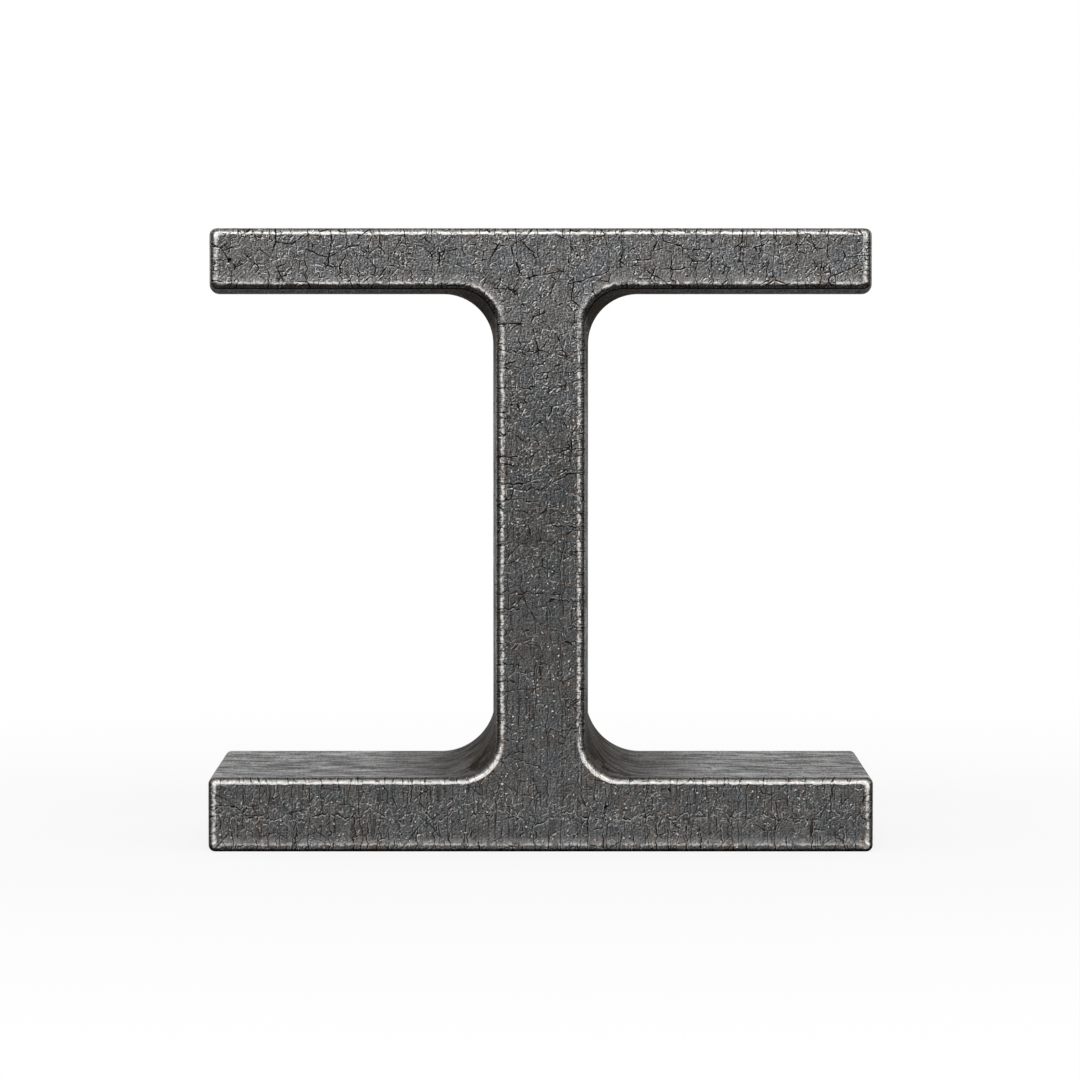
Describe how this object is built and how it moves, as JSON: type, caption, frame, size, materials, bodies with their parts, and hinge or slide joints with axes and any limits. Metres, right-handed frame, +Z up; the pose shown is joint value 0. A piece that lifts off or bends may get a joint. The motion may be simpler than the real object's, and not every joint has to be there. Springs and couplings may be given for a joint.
{
  "type": "steel i-beam",
  "caption": "Short sawn length of heavy rolled steel I-beam with rounded root fillets, flange tips and dressed ends, standing on its lower flange.",
  "frame": {"origin": "middle of the lower flange's outer face, halfway along the beam's length", "axes": "+X across the flanges, +Y along the rolling direction away from the viewer of the picture, +Z up the web from the lower flange to the upper"},
  "size_m": [0.1, 0.05, 0.0937],
  "materials": {
    "mill_scale_steel": "satin"
  },
  "bodies": {
    "root": {"i_beam": "mill_scale_steel"}
  },
  "joints": []
}
